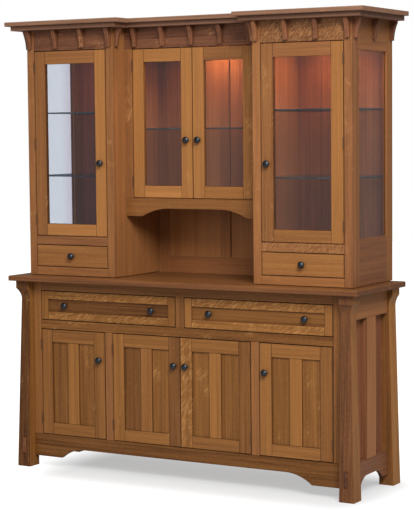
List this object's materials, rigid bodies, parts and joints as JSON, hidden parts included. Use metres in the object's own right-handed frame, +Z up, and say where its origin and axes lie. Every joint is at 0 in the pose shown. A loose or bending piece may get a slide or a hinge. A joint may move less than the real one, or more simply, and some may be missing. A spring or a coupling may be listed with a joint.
{
  "type": "china cabinet",
  "caption": "Breakfront china cabinet: glazed hutch with drawers, serving niche and corbelled cornice on a panelled base with doors, drawers and flared legs.",
  "frame": {"origin": "on the floor, under the centre of the whole cabinet's box", "axes": "+Z up, -Y to the front where the doors open, +X to the right seen from the front"},
  "size_m": [1.88, 0.513, 2.134],
  "materials": {
    "stained_oak": "quarter-sawn oak, brown stain, satin lacquer",
    "inside_oak": "oak plywood and boards, clear satin lacquer",
    "dark_bronze": "oil-rubbed dark bronze",
    "clear_glass": "clear float glass",
    "shelf_glass": "clear glass with polished green edges",
    "light_lens": "frosted lens",
    "steel": "nickel-plated pins",
    "catch_plastic": "brown plastic"
  },
  "bodies": {
    "cabinet": {"arched_rail": "stained_oak", "base_back": "inside_oak", "base_face_frame": "stained_oak", "base_inside_boards": "inside_oak", "base_side_frames": "stained_oak", "base_side_panels": "stained_oak", "centre_face_frame": "stained_oak", "corbels": "stained_oak", "cornice_bed": "stained_oak", "cornice_cap": "stained_oak", "countertop": "stained_oak", "door_catches": "catch_plastic", "drawer_runners": "inside_oak", "front_apron": "stained_oak", "glass_shelves": "shelf_glass", "hinge_frame_leaves": "dark_bronze", "hutch_back_frame": "stained_oak", "hutch_back_panels": "stained_oak", "hutch_decks": "stained_oak", "legs": "stained_oak", "light_housings": "dark_bronze", "light_lenses": "light_lens", "shelf_pins": "steel", "side_glass": "clear_glass", "tower_face_frames": "stained_oak", "tower_inner_sides": "stained_oak", "tower_side_frames": "stained_oak"},
    "base_outer_door_left": {"base_outer_door_left": "stained_oak", "base_outer_door_left_hardware": "dark_bronze"},
    "base_inner_door_left": {"base_inner_door_left": "stained_oak", "base_inner_door_left_hardware": "dark_bronze"},
    "tower_door_left": {"tower_door_left": "stained_oak", "tower_door_left_glass": "clear_glass", "tower_door_left_hardware": "dark_bronze"},
    "centre_door_left": {"centre_door_left": "stained_oak", "centre_door_left_glass": "clear_glass", "centre_door_left_hardware": "dark_bronze"},
    "base_drawer_left": {"base_drawer_left_box": "inside_oak", "base_drawer_left_front": "stained_oak", "base_drawer_left_knobs": "dark_bronze"},
    "tower_drawer_left": {"tower_drawer_left_box": "inside_oak", "tower_drawer_left_front": "stained_oak", "tower_drawer_left_knob": "dark_bronze"},
    "base_outer_door_right": {"base_outer_door_right": "stained_oak", "base_outer_door_right_hardware": "dark_bronze"},
    "base_inner_door_right": {"base_inner_door_right": "stained_oak", "base_inner_door_right_hardware": "dark_bronze"},
    "tower_door_right": {"tower_door_right": "stained_oak", "tower_door_right_glass": "clear_glass", "tower_door_right_hardware": "dark_bronze"},
    "centre_door_right": {"centre_door_right": "stained_oak", "centre_door_right_glass": "clear_glass", "centre_door_right_hardware": "dark_bronze"},
    "base_drawer_right": {"base_drawer_right_box": "inside_oak", "base_drawer_right_front": "stained_oak", "base_drawer_right_knobs": "dark_bronze"},
    "tower_drawer_right": {"tower_drawer_right_box": "inside_oak", "tower_drawer_right_front": "stained_oak", "tower_drawer_right_knob": "dark_bronze"}
  },
  "joints": [
    {"name": "base_outer_door_left_swing", "type": "hinge", "parent": "cabinet", "child": "base_outer_door_left", "pos_m": [-0.7765, -0.1938, 0.5], "axis": [0, 0, -1], "range_deg": [0, 110]},
    {"name": "base_inner_door_left_swing", "type": "hinge", "parent": "cabinet", "child": "base_inner_door_left", "pos_m": [-0.3685, -0.1938, 0.5], "axis": [0, 0, -1], "range_deg": [0, 110]},
    {"name": "tower_door_left_swing", "type": "hinge", "parent": "cabinet", "child": "tower_door_left", "pos_m": [-0.817, -0.1618, 1.6], "axis": [0, 0, -1], "range_deg": [0, 110]},
    {"name": "centre_door_left_swing", "type": "hinge", "parent": "cabinet", "child": "centre_door_left", "pos_m": [-0.3255, -0.0618, 1.6], "axis": [0, 0, -1], "range_deg": [0, 95]},
    {"name": "base_drawer_left_slide", "type": "slide", "parent": "cabinet", "child": "base_drawer_left", "axis": [0, -1, 0], "range_m": [0, 0.3]},
    {"name": "tower_drawer_left_slide", "type": "slide", "parent": "cabinet", "child": "tower_drawer_left", "axis": [0, -1, 0], "range_m": [0, 0.26]},
    {"name": "base_outer_door_right_swing", "type": "hinge", "parent": "cabinet", "child": "base_outer_door_right", "pos_m": [0.7765, -0.1938, 0.5], "axis": [0, 0, 1], "range_deg": [0, 110]},
    {"name": "base_inner_door_right_swing", "type": "hinge", "parent": "cabinet", "child": "base_inner_door_right", "pos_m": [0.3685, -0.1938, 0.5], "axis": [0, 0, 1], "range_deg": [0, 110]},
    {"name": "tower_door_right_swing", "type": "hinge", "parent": "cabinet", "child": "tower_door_right", "pos_m": [0.817, -0.1618, 1.6], "axis": [0, 0, 1], "range_deg": [0, 110]},
    {"name": "centre_door_right_swing", "type": "hinge", "parent": "cabinet", "child": "centre_door_right", "pos_m": [0.3255, -0.0618, 1.6], "axis": [0, 0, 1], "range_deg": [0, 95]},
    {"name": "base_drawer_right_slide", "type": "slide", "parent": "cabinet", "child": "base_drawer_right", "axis": [0, -1, 0], "range_m": [0, 0.3]},
    {"name": "tower_drawer_right_slide", "type": "slide", "parent": "cabinet", "child": "tower_drawer_right", "axis": [0, -1, 0], "range_m": [0, 0.26]}
  ]
}
